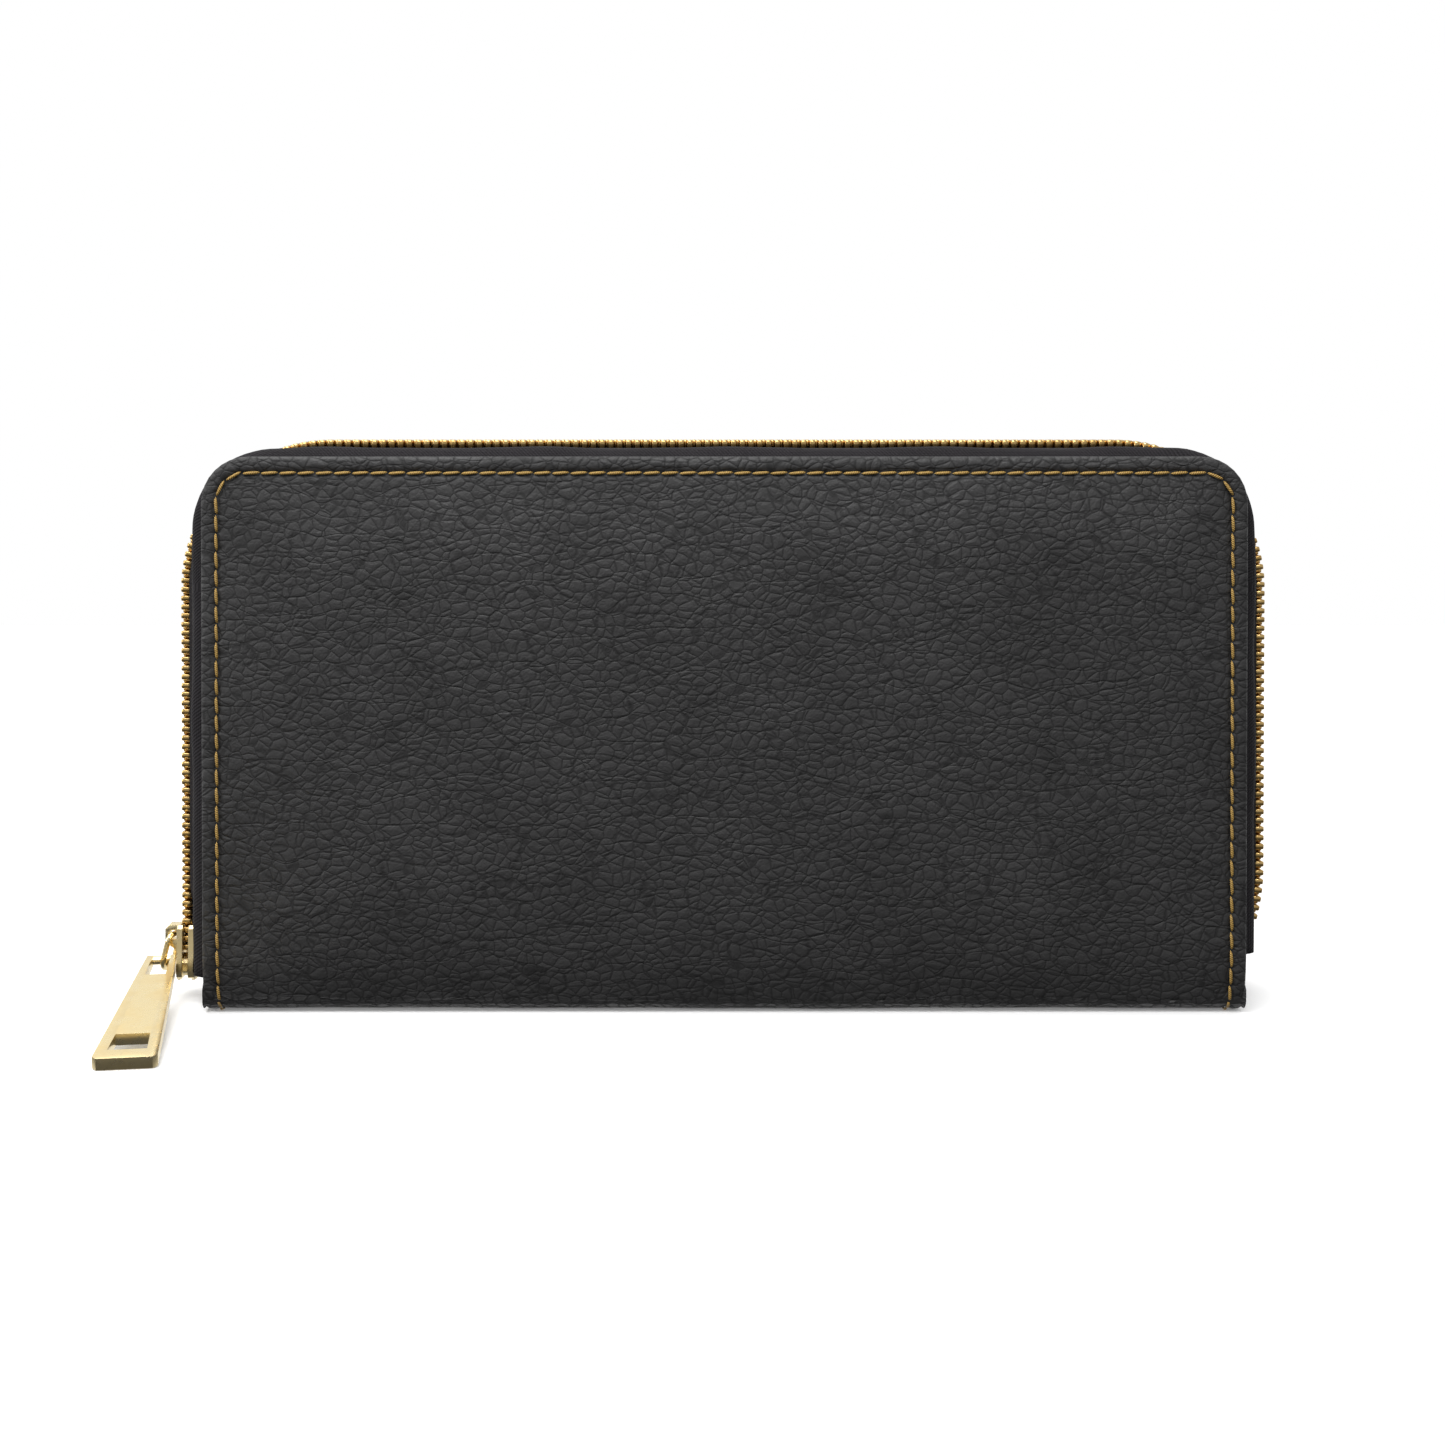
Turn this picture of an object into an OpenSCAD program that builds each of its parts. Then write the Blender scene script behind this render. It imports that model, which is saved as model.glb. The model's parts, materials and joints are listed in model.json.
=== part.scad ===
// Zip-around wallet, standing on its spine, closed.
// X runs along the spine, Y from the front cover to the back cover, Z up.
// The origin is the middle of the flat under the spine.

/* [Covers] */
// Width of each cover
cover_w = 200; // [190:1:210]
// Height of the covers' top edge above the surface that the wallet stands on
cover_h = 107; // [104:1:112]
// Distance between the two covers' outer faces
wallet_t = 24; // [24:0.5:26]
// Radius of the covers' top corners
corner_r = 9; // [8.5:0.5:12]
// Outer radius of the fold between a cover and the spine
fold_r = 5; // [4:0.5:5.5]
// Thickness of the outer leather
leather_t = 1.1; // [1:0.05:1.1]
// Width of the leather edge that is turned over inside each cover
turned_edge_w = 8; // [6:0.5:8]

/* [Stitching] */
// Distance of the stitching from the cover's edge
stitch_inset = 3.1; // [2.5:0.1:4]
// Distance from one stitch to the next
stitch_pitch = 3.45; // [3:0.05:4]
// Length of thread that shows in one stitch
stitch_l = 2.8; // [2.2:0.1:2.9]

/* [Main zip] */
// Distance from one tooth to the next on the same tape
tooth_pitch = 1.72; // [1.6:0.02:2]
// How far the chain stands out past the covers' side edges
side_bulge = 5.4; // [4.8:0.1:5.8]
// How far the chain stands out past the covers' top edge
top_bulge = 2; // [1.4:0.1:2.6]
// Radius of the chain's path at the top corners
chain_r = 28; // [24:1:30]

/* [Inside] */
// Width of the zipped coin pocket
coin_w = 176; // [170:1:178]
// Height of the coin pocket's panels above the ground
coin_top = 82; // [78:1:84]
// Depth of the side gussets' pleats
pleat_depth = 16; // [12:1:20]

/* [Pull tab] */
// Length of the pull tab from its bar to its wide end
tab_l = 40; // [36:1:42]
// Width of the pull tab at its wide end
tab_wide = 11.3; // [10:0.1:12]
// Width of the pull tab at its bar
tab_narrow = 5.7; // [5.5:0.1:5.8]
// Thickness of the pull tab
tab_t = 2.2; // [1.8:0.1:2.4]

/* [Hidden] */
$fn = 48;
half_w = cover_w / 2;
half_t = wallet_t / 2;

// the fold is a living hinge: the cover's round lower end turns in a round seat in the spine leather
hinge_y = half_t - leather_t / 2;
hinge_z = fold_r + 0.6;
hinge_end_r = 0.5;
hinge_seat_r = 0.7;

// layers of a cover, as distances of their outer faces from the mid-plane
turned_y = half_t - leather_t;
lining_y = turned_y - leather_t;
lining_t = 0.4;
lining_inset = 3.3;
panel_low = hinge_z + 1.6;

// stacked pockets inside the covers
pocket_t = 0.4;
pocket_pitch = 0.5;
pocket_w = 182;
pocket_low = 8;
card_tops = [92, 80, 68, 56];
sleeve_tops = [90, 66];
pocket_y = lining_y - lining_t;

// inside of the spine
spine_board_t = 0.8;
spine_board_w = 13;
spine_lining_t = 0.4;
spine_floor = leather_t + spine_board_t + spine_lining_t;

// main zip
tape_t = 0.5;
tape_inset = 3;
tape_r = 20;
tape_y = lining_y - tape_t / 2;
tape_edge_y = 2;
chain_half_w = half_w + side_bulge;
chain_top = cover_h + top_bulge;
chain_low = 9.7;
tail_z = 26;
tail_r = 40;
tail_turn = 22;
tape_low = hinge_z + 0.9;
tooth_t = 2;
tooth_base_y = 1.95;
corner_steps = 6;

// share of the way from the sewn edge to the chain, and distance from the mid-plane, across one tape
tape_profile = [[0, tape_y], [0.37, tape_y], [0.45, tape_y - 0.2], [0.62, 8.2], [0.8, 6.7],
                [0.93, 5.4], [0.99, 4.75], [1, 4.3], [1, tape_edge_y]];

// zip slider, in its own frame: X is the way it travels to close, Z is away from the chain
slider_channel = 1.15;
slider_plate = 0.55;
slider_slot = 0.55;
slider_outline = [[-5.5, 3.1], [-4.9, 3.6], [0.6, 3.8], [3, 4.3], [4.4, 4], [5.3, 3], [5.5, 1.6]];
slider_throat = [[-5.6, 2.6], [0, 2.8], [3, 3.5], [5.6, 3.5]];
diamond = [[0.7, 0], [2.4, 1.6], [4.2, 1.6], [5.1, 0.8]];
bridge_half_w = 1.15;
ring_hole = [-3, 3];
slider_z = 9.3;
slider_x = -chain_half_w;

// pull ring and tab
wire_r = 0.55;
ring_half_w = 2.2;
ring_l = 6.9;
ring_tilt = 14;
ring_twist = 15;
ring_axis = [slider_x - ring_hole[1], slider_z - ring_hole[0]];
bar_r = 0.85;
ring_reach = ring_l - wire_r - bar_r - 0.05;
bar = [ring_axis[0] - ring_reach * sin(ring_tilt), ring_axis[1] - ring_reach * cos(ring_tilt)];
tab_shift = 1.2;
tab_turn = 7;
tab_tilt = asin((bar[1] - tab_t / 2 - 0.15) / tab_l);
leg_w = 1.15;
eye_l = 8.2;
window_l = 5.6;
window_end = 3;

// coin pocket and its zip, which is the main zip's slider at a smaller size
coin_panel_t = 0.6;
coin_half_gap = 2.1;
coin_zip_scale = 0.65;
coin_zip_z = coin_top + 5;
coin_zip_half_l = 80;
coin_slider_x = -coin_zip_half_l + 6;
coin_tape_t = 0.4;
coin_tape_y = coin_half_gap + coin_panel_t + coin_tape_t / 2 + 0.05;
coin_tape = [[1.4, coin_zip_z], [3.6, coin_zip_z], [4, coin_zip_z - 0.7], [3.7, coin_top + 1.4],
             [coin_tape_y, coin_top - 1.6], [coin_tape_y, coin_top - 6]];
coin_pull_l = 12;

// gussets, between the coin pocket's side and the cover's lining
gusset_t = 0.35;
gusset_low = 9;
gusset_top = 78;
gusset_x = coin_w / 2;
gusset_line = [[gusset_x, coin_half_gap + coin_panel_t + 0.25], [gusset_x - pleat_depth, 4.6],
               [gusset_x + 4.6, 6.7], [gusset_x + 6.4, pocket_y - 0.25]];

// ---------- helpers ----------

// Everything below is drawn for the front cover; the back cover is its mirror image.
module on_back() {
    mirror([0, 1, 0]) children();
}

// A flat sheet parallel to the covers: outer face at distance y in front of the mid-plane, t thick inwards.
module sheet_at(y, t) {
    translate([0, t - y, 0]) rotate([90, 0, 0]) linear_extrude(t) children();
}

// A profile drawn in (distance in front of the mid-plane, height), drawn out along X.
module along_spine(length) {
    rotate([90, 0, 90]) linear_extrude(length, center = true) mirror([1, 0]) children();
}

// A panel of half width w with rounded top corners.
module panel_outline(w, top, r, low) {
    translate([-w, low]) square([2 * w, top - r - low]);
    translate([r - w, low]) square([2 * (w - r), top - low]);
    for (side = [-1, 1]) translate([side * (w - r), top - r]) circle(r);
}

module cover_outline(inset, low) {
    panel_outline(half_w - inset, cover_h - inset, corner_r - inset, low);
}

// The outline of a strip of thickness t that follows a line of points.
function unit(v) = v / norm(v);
function left_of(v) = [-v[1], v[0]];
function side_at(line, i) = left_of(unit(
    (i == 0 ? [0, 0] : unit(line[i] - line[i - 1])) +
    (i == len(line) - 1 ? [0, 0] : unit(line[i + 1] - line[i]))));
function strip(line, t) = concat(
    [for (i = [0 : len(line) - 1]) line[i] + side_at(line, i) * t / 2],
    [for (i = [len(line) - 1 : -1 : 0]) line[i] - side_at(line, i) * t / 2]);

// A path up the left side, over the top and down the right side, as [x, z, outward angle] at length s.
function arc_point(centre, r, angle) = [centre[0] + r * cos(angle), centre[1] + r * sin(angle), angle];
function path_side(top, r, low) = top - r - low;
function path_top(w, r) = 2 * (w - r);
function path_corner(r) = PI * r / 2;
function path_length(w, top, r, low) = 2 * path_side(top, r, low) + path_top(w, r) + 2 * path_corner(r);
function path_point(s, w, top, r, low) =
    let (side = path_side(top, r, low), corner = path_corner(r), over = path_top(w, r))
    s < side ? [-w, low + s, 180] :
    s < side + corner ? arc_point([r - w, top - r], r, 180 - (s - side) / r * 180 / PI) :
    s < side + corner + over ? [r - w + s - side - corner, top, 90] :
    s < side + 2 * corner + over ?
        arc_point([w - r, top - r], r, 90 - (s - side - corner - over) / r * 180 / PI) :
    [w, top - r - (s - side - 2 * corner - over), 0];

// The chain's path is the same, but its last stretch on the right turns in towards the spine.
chain_to_tail = path_length(chain_half_w, chain_top, chain_r, chain_low) - (tail_z - chain_low);
tail_l = tail_r * tail_turn * PI / 180;
function chain_point(s) = s < chain_to_tail ?
    path_point(s, chain_half_w, chain_top, chain_r, chain_low) :
    arc_point([chain_half_w - tail_r, tail_z], tail_r, -(s - chain_to_tail) / tail_r * 180 / PI);

// Puts its child on a path: the child's X points outwards and its Z along the path.
module at_point(p) {
    translate([p[0], 0, p[1]]) rotate([0, -p[2], 0]) children();
}

// ---------- covers and spine ----------

// Flat floor at height low, round folds of radius r, and walls at distance half up to height high.
module spine_section(r, half, low, high) {
    intersection() {
        translate([-half, low]) square([2 * half, high - low]);
        union() {
            translate([-half, fold_r]) square([2 * half, high - fold_r]);
            translate([fold_r - half_t, low]) square([2 * (half_t - fold_r), high - low]);
            for (side = [-1, 1]) translate([side * (half_t - fold_r), fold_r]) circle(r);
        }
    }
}

module spine_leather() {
    color("#1b1b1c") along_spine(cover_w) difference() {
        spine_section(fold_r, half_t, 0, hinge_z);
        spine_section(fold_r - leather_t, half_t - leather_t, leather_t, hinge_z + 1);
        for (side = [-1, 1]) translate([side * hinge_y, hinge_z]) circle(hinge_seat_r);
    }
}

module spine_board() {
    color("#8b8577") translate([4 - half_w, -spine_board_w / 2, leather_t])
        cube([cover_w - 8, spine_board_w, spine_board_t]);
}

module spine_lining() {
    color("#111112") translate([4 - half_w, -spine_board_w / 2, leather_t + spine_board_t])
        cube([cover_w - 8, spine_board_w, spine_lining_t]);
}

module cover_leather() {
    color("#1b1b1c") {
        sheet_at(half_t, leather_t) cover_outline(0, hinge_z);
        sheet_at(turned_y + 0.001, leather_t) difference() {
            cover_outline(0, panel_low);
            cover_outline(turned_edge_w, panel_low - 1);
        }
        translate([0, -hinge_y, hinge_z]) rotate([0, 90, 0])
            cylinder(r = hinge_end_r, h = cover_w, center = true);
    }
}

module cover_board() {
    color("#8b8577") sheet_at(turned_y, leather_t) cover_outline(turned_edge_w + 0.1, panel_low);
}

module cover_lining() {
    color("#111112") sheet_at(lining_y, lining_t)
        panel_outline(half_w - lining_inset, cover_h - lining_inset, tape_r - 0.3, panel_low);
}

module cover_stitching() {
    w = half_w - stitch_inset;
    top = cover_h - stitch_inset;
    r = corner_r - stitch_inset;
    low = hinge_z + 1;
    count = floor(path_length(w, top, r, low) / stitch_pitch);
    color("#b8923d") for (i = [0 : count - 1])
        at_point(path_point((i + 0.5) * stitch_pitch, w, top, r, low))
            translate([0, -half_t - 0.15, 0]) cube([0.6, 0.3, stitch_l], center = true);
}

module stacked_pocket(number, top) {
    color("#232325") sheet_at(pocket_y - pocket_pitch * (number - 1), pocket_t)
        translate([-pocket_w / 2, pocket_low]) square([pocket_w, top - pocket_low]);
}

// ---------- main zip ----------

// Pairs of points, [on the sewn edge, on the chain], that one tape spans between.
tape_w = half_w - tape_inset;
tape_top = cover_h - tape_inset;
function corner_pair(side, angle) = [
    [side * (tape_w - tape_r + tape_r * cos(angle)), tape_top - tape_r + tape_r * sin(angle)],
    [side * (chain_half_w - chain_r + chain_r * cos(angle)), chain_top - chain_r + chain_r * sin(angle)]];
function tail_pair(angle) = let (z = tail_z - tail_r * sin(angle))
    [[tape_w, z], [chain_half_w - tail_r + tail_r * cos(angle), z]];
tape_pairs = concat(
    [[[-tape_w, tape_low], [-chain_half_w, tape_low]]],
    [for (i = [0 : corner_steps]) corner_pair(-1, i * 90 / corner_steps)],
    [for (i = [corner_steps : -1 : 0]) corner_pair(1, i * 90 / corner_steps)],
    [for (i = [0 : 4]) tail_pair(i * tail_turn / 4)]);

function tape_ring(pair) =
    let (across = pair[1] - pair[0], w = norm(across), u = across / w)
    [for (p = strip([for (q = tape_profile) [q[0] * w, -q[1]]], tape_t))
        [pair[0][0] + u[0] * p[0], p[1], pair[0][1] + u[1] * p[0]]];

module zip_tape() {
    rings = [for (pair = tape_pairs) tape_ring(pair)];
    n = len(rings[0]);
    last = (len(rings) - 1) * n;
    quads = [for (k = [0 : len(rings) - 2], i = [0 : n - 1])
        [k * n + i, k * n + (i + 1) % n, (k + 1) * n + (i + 1) % n, (k + 1) * n + i]];
    cap = [for (i = [0 : n / 2 - 2]) [i, n - 1 - i, n - 2 - i, i + 1]];
    color("#19191b") polyhedron(
        points = [for (ring = rings, p = ring) p],
        faces = concat(
            [for (q = quads) [q[0], q[1], q[2]]], [for (q = quads) [q[0], q[2], q[3]]],
            cap, [for (c = cap) [c[3] + last, c[2] + last, c[1] + last, c[0] + last]]));
}

// One tooth: wide where it grips the tape, narrow where it locks past the mid-plane.
module tooth() {
    rotate([90, 0, 90]) linear_extrude(tooth_t, center = true)
        polygon([[-tooth_base_y, -0.45], [-0.6, -0.45], [0.25, -0.25],
                 [0.25, 0.25], [-0.6, 0.45], [-tooth_base_y, 0.45]]);
}

module zip_teeth(offset) {
    count = floor((chain_to_tail + tail_l - 3) / tooth_pitch);
    color("#b5892f") for (i = [0 : count - 1])
        at_point(chain_point((i + offset) * tooth_pitch)) tooth();
}

module zip_bottom_stop() {
    color("#b5892f") at_point(chain_point(chain_to_tail + tail_l - 1.4))
        cube([2.2, 2 * tooth_base_y, 1.8], center = true);
}

// ---------- slider, ring and tab ----------

function mirrored(side) = concat(side, [for (i = [len(side) - 1 : -1 : 0]) [side[i][0], -side[i][1]]]);

module slider_shell() {
    slider_top = slider_channel + slider_plate;
    difference() {
        translate([0, 0, -slider_top]) linear_extrude(2 * slider_top) polygon(mirrored(slider_outline));
        translate([0, 0, -slider_channel]) linear_extrude(2 * slider_channel)
            polygon(mirrored(slider_throat));
        cube([12, 12, 2 * slider_slot], center = true);
    }
    translate([0, 0, -slider_channel - 0.1]) linear_extrude(2 * slider_channel + 0.2)
        polygon(mirrored(diamond));
}

module slider_bridge() {
    base = slider_channel + slider_plate - 0.1;
    translate([0, bridge_half_w, 0]) rotate([90, 0, 0]) linear_extrude(2 * bridge_half_w)
        difference() {
            polygon([[-5, base], [-5, 3.9], [-4.2, 4.65], [-1.8, 4.65], [-1, 3.9],
                     [-0.6, 3.3], [0.6, base]]);
            translate(ring_hole) circle(0.95);
        }
}

module slider_body() {
    slider_shell();
    slider_bridge();
}

// From the slider's own frame to the left side of the wallet: it closes downwards and faces left.
module at_slider() {
    translate([slider_x, 0, slider_z]) rotate(180, [1, 0, -1]) children();
}

module zip_slider() {
    color("#c39b45") at_slider() slider_body();
}

// A closed loop of round wire that hangs from its upper straight stretch, which lies on the Y axis.
module pull_ring() {
    bend = 1.2;
    color("#d0a94f") translate([ring_axis[0], 0, ring_axis[1]]) rotate([0, ring_tilt, 0])
    rotate([0, 0, -ring_twist]) {
        for (side = [-1, 1]) {
            translate([0, side * ring_half_w, -bend]) mirror([0, 0, 1])
                cylinder(r = wire_r, h = ring_l - ring_half_w - bend);
            translate([0, side * (ring_half_w - bend), -bend])
                rotate([0, -90, 0]) rotate([0, 0, side > 0 ? 0 : -90])
                rotate_extrude(angle = 90) translate([bend, 0]) circle(wire_r);
        }
        rotate([90, 0, 0]) cylinder(r = wire_r, h = 2 * (ring_half_w - bend), center = true);
        translate([0, 0, ring_half_w - ring_l]) rotate([0, -90, 0]) rotate([0, 0, 90])
            rotate_extrude(angle = 180) translate([ring_half_w, 0]) circle(wire_r);
    }
}

module tab_outline() {
    c = 0.8;
    polygon([[-tab_narrow / 2, 0], [tab_narrow / 2, 0],
             [tab_wide / 2, c - tab_l], [tab_wide / 2 - c, -tab_l],
             [c - tab_wide / 2, -tab_l], [-tab_wide / 2, c - tab_l]]);
}

function tab_half_at(y) = (tab_narrow + (tab_wide - tab_narrow) * y / tab_l) / 2;

// The tab reaches forwards from its bar, which the ring holds near its right end.
module pull_tab() {
    window_far = tab_l - window_end;
    window_near = window_far - window_l;
    color("#e0be6c") translate([bar[0], 0, bar[1]]) rotate([0, 0, tab_turn])
    translate([-tab_shift, 0, 0]) rotate([tab_tilt, 0, 0]) {
        difference() {
            translate([0, 0, -tab_t / 2]) linear_extrude(tab_t) tab_outline();
            translate([0, 0, -tab_t]) linear_extrude(2 * tab_t) {
                polygon([[-tab_narrow, 1], [tab_narrow, 1], [tab_narrow, -0.01], [-tab_narrow, -0.01]]);
                polygon([[leg_w - tab_half_at(0), 0.5], [tab_half_at(0) - leg_w, 0.5],
                         [tab_half_at(eye_l) - leg_w - 0.3, -eye_l],
                         [leg_w + 0.3 - tab_half_at(eye_l), -eye_l]]);
                polygon([[2 - tab_half_at(window_near), -window_near],
                         [tab_half_at(window_near) - 2, -window_near],
                         [tab_half_at(window_far) - 2, -window_far],
                         [2 - tab_half_at(window_far), -window_far]]);
            }
        }
        rotate([0, 90, 0]) cylinder(r = bar_r, h = tab_narrow, center = true);
    }
}

// ---------- coin pocket ----------

module coin_panel() {
    color("#232325") sheet_at(coin_half_gap + coin_panel_t, coin_panel_t)
        translate([-coin_w / 2, spine_floor + 0.8]) square([coin_w, coin_top - spine_floor - 0.8]);
}

module coin_pocket_bottom() {
    color("#232325") translate([-coin_w / 2, -coin_half_gap - coin_panel_t, spine_floor])
        cube([coin_w, 2 * (coin_half_gap + coin_panel_t), 0.8]);
}

module coin_tape_section() {
    color("#19191b") along_spine(2 * coin_zip_half_l) polygon(strip(coin_tape, coin_tape_t));
}

module coin_coil() {
    start = coin_slider_x + 0.2;
    color("#8f6f2c") translate([start, -1.32, coin_zip_z - 0.65])
        cube([coin_zip_half_l - 2 - start, 1.27, 1.3]);
}

module at_coin_slider() {
    translate([coin_slider_x, 0, coin_zip_z]) rotate([0, 0, 180]) scale(coin_zip_scale) children();
}

module coin_zip_slider() {
    color("#c39b45") at_coin_slider() slider_body();
}

// A flat tongue with an eye round the slider's bridge, lying along the coil.
module coin_zip_pull() {
    axis = [coin_slider_x - ring_hole[0] * coin_zip_scale, coin_zip_z + ring_hole[1] * coin_zip_scale];
    pin_r = 0.4;
    color("#d0a94f") translate([axis[0], 0, axis[1]]) {
        rotate([90, 0, 0]) cylinder(r = pin_r, h = 3.6, center = true);
        for (side = [-1, 1]) translate([0, side * 1.4 - 0.4, -pin_r]) cube([4, 0.8, 2 * pin_r]);
        translate([3.4, -1.8, -pin_r]) cube([coin_pull_l - 3.4, 3.6, 2 * pin_r]);
    }
}

// ---------- gussets ----------

// A pleated strip from the coin pocket's side to the front cover's lining, on the right.
module gusset() {
    color("#19191b") translate([0, 0, gusset_low]) linear_extrude(gusset_top - gusset_low)
        mirror([0, 1]) polygon(strip(gusset_line, gusset_t));
}

// ---------- the nodes ----------

spine_leather();
spine_board();
spine_lining();

cover_leather();  // front_leather
cover_board();  // front_board
cover_lining();  // front_lining
cover_stitching();  // front_stitching
stacked_pocket(1, card_tops[0]);  // front_card_pocket_1
stacked_pocket(2, card_tops[1]);  // front_card_pocket_2
stacked_pocket(3, card_tops[2]);  // front_card_pocket_3
stacked_pocket(4, card_tops[3]);  // front_card_pocket_4
zip_tape();  // front_zip_tape
zip_teeth(0.25);  // front_zip_teeth

on_back() cover_leather();  // back_leather
on_back() cover_board();  // back_board
on_back() cover_lining();  // back_lining
on_back() cover_stitching();  // back_stitching
on_back() stacked_pocket(1, sleeve_tops[0]);  // back_sleeve_1
on_back() stacked_pocket(2, sleeve_tops[1]);  // back_sleeve_2
on_back() zip_tape();  // back_zip_tape
on_back() zip_teeth(0.75);  // back_zip_teeth
zip_bottom_stop();

zip_slider();
pull_ring();
pull_tab();

coin_panel();  // coin_pocket_front
on_back() coin_panel();  // coin_pocket_back
coin_pocket_bottom();
coin_tape_section();  // coin_zip_tape_front
on_back() coin_tape_section();  // coin_zip_tape_back
coin_coil();  // coin_zip_coil_front
on_back() coin_coil();  // coin_zip_coil_back
coin_zip_slider();
coin_zip_pull();

mirror([1, 0, 0]) gusset();  // gusset_front_left
gusset();  // gusset_front_right
mirror([1, 0, 0]) on_back() gusset();  // gusset_back_left
on_back() gusset();  // gusset_back_right
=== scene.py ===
import json
import math

import bmesh
import bpy
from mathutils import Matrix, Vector, noise


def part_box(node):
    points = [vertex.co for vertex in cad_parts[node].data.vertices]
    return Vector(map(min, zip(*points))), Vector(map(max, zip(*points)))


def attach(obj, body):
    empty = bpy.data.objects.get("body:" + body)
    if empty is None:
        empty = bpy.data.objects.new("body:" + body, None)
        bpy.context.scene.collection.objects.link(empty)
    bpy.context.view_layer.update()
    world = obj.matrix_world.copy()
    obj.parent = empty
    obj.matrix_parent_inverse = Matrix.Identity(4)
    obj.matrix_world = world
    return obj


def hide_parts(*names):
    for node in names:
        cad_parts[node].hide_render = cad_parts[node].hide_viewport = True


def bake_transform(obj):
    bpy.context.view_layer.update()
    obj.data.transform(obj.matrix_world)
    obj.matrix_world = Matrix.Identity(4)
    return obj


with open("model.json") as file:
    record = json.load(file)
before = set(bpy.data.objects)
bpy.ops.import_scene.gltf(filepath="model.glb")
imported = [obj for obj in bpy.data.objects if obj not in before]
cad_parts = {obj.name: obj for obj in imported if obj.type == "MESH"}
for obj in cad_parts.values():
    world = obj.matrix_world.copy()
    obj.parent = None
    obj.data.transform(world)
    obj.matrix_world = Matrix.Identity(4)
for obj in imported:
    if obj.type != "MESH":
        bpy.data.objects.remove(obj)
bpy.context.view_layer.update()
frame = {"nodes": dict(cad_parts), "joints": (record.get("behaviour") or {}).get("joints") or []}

MM = 0.001

# ---------- sizes ----------

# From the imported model
COVER_LOW, COVER_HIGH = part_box("front_leather")
TEETH_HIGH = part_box("front_zip_teeth")[1]
JOINTS = {joint["name"]: joint for joint in frame["joints"]}
HINGE = Vector(JOINTS["front_cover_hinge"]["pos_m"])
HALF_W = COVER_HIGH.x
HALF_T = -COVER_LOW.y
TOP = COVER_HIGH.z

# Shapes that the model's boxes don't tell
CORNER_R = 9 * MM
FOLD_R = 3 * MM
LEATHER_T = 1.1 * MM
TURNED_EDGE_W = 8 * MM
STITCH_INSET = 3.1 * MM
STITCH_PITCH = 3.45 * MM
TOOTH_PITCH = 1.72 * MM
TOOTH_T = 2 * MM
CHAIN_R = 28 * MM
CHAIN_LOW = 9.7 * MM
TAIL_Z = 26 * MM
TAIL_R = 40 * MM
TAIL_TURN = math.radians(22)
TAPE_R = 20 * MM
TAPE_INSET = 3 * MM
TAPE_T = 0.5 * MM
SLIDER_CLEAR_Z = 15 * MM
SHOULDER = (102.1 * MM, 108.3 * MM, 15 * MM)
CHAIN_HALF_W = TEETH_HIGH.x - TOOTH_T / 2
CHAIN_TOP = TEETH_HIGH.z - TOOTH_T / 2


# ---------- materials ----------

class Nodes:
    """A short way to write a material's nodes."""

    def __init__(self, name):
        self.material = bpy.data.materials.new(name)
        self.material.use_nodes = True
        self.tree = self.material.node_tree
        self.shader = self.tree.nodes["Principled BSDF"]

    def add(self, kind, links=(), **settings):
        node = self.tree.nodes.new(kind)
        for key, value in settings.items():
            setattr(node, key, value)
        for socket, value in dict(links).items():
            self.put(node, socket, value)
        return node

    def put(self, node, socket, value):
        if isinstance(value, bpy.types.NodeSocket):
            self.tree.links.new(value, node.inputs[socket])
        else:
            node.inputs[socket].default_value = value

    def set(self, **values):
        for socket, value in values.items():
            self.put(self.shader, socket.replace("_", " "), value)

    def math(self, operation, a, b=0.0, c=0.0, clamp=False):
        node = self.add("ShaderNodeMath", {0: a, 1: b, 2: c}, operation=operation, use_clamp=clamp)
        return node.outputs[0]

    def ramp(self, value, low, high, to_low=0.0, to_high=1.0):
        node = self.add("ShaderNodeMapRange", {
            "Value": value, "From Min": low, "From Max": high, "To Min": to_low, "To Max": to_high})
        node.interpolation_type = "SMOOTHSTEP"
        return node.outputs[0]

    def noise(self, where, scale, detail=3.0, roughness=0.5):
        node = self.add("ShaderNodeTexNoise", {
            "Vector": where, "Scale": scale, "Detail": detail, "Roughness": roughness})
        return node.outputs["Fac"]

    def cells(self, where, scale, feature="DISTANCE_TO_EDGE"):
        node = self.add("ShaderNodeTexVoronoi", {"Vector": where, "Scale": scale}, feature=feature)
        return node.outputs["Distance"]

    def blend(self, fac, a, b):
        node = self.add("ShaderNodeMix", data_type="RGBA")
        self.put(node, 0, fac)
        self.put(node, 6, (*a, 1) if isinstance(a, tuple) else a)
        self.put(node, 7, (*b, 1) if isinstance(b, tuple) else b)
        return node.outputs[2]

    def bump(self, height, distance, strength=1.0, under=None):
        links = {"Height": height, "Distance": distance, "Strength": strength}
        if under is not None:
            links["Normal"] = under
        return self.add("ShaderNodeBump", links).outputs[0]

    def along(self):
        """The piece's own flat coordinates, in metres."""
        return self.add("ShaderNodeUVMap", uv_map="flat").outputs[0]

    def place(self):
        return self.add("ShaderNodeTexCoord").outputs["Object"]

    def warped(self, where, scale, amount):
        shift = self.add("ShaderNodeTexNoise", {"Vector": where, "Scale": scale, "Detail": 2.0})
        scaled = self.add("ShaderNodeVectorMath", {0: shift.outputs["Color"], 1: (amount,) * 3},
                          operation="MULTIPLY")
        return self.add("ShaderNodeVectorMath", {0: where, 1: scaled.outputs[0]},
                        operation="ADD").outputs[0]


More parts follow.
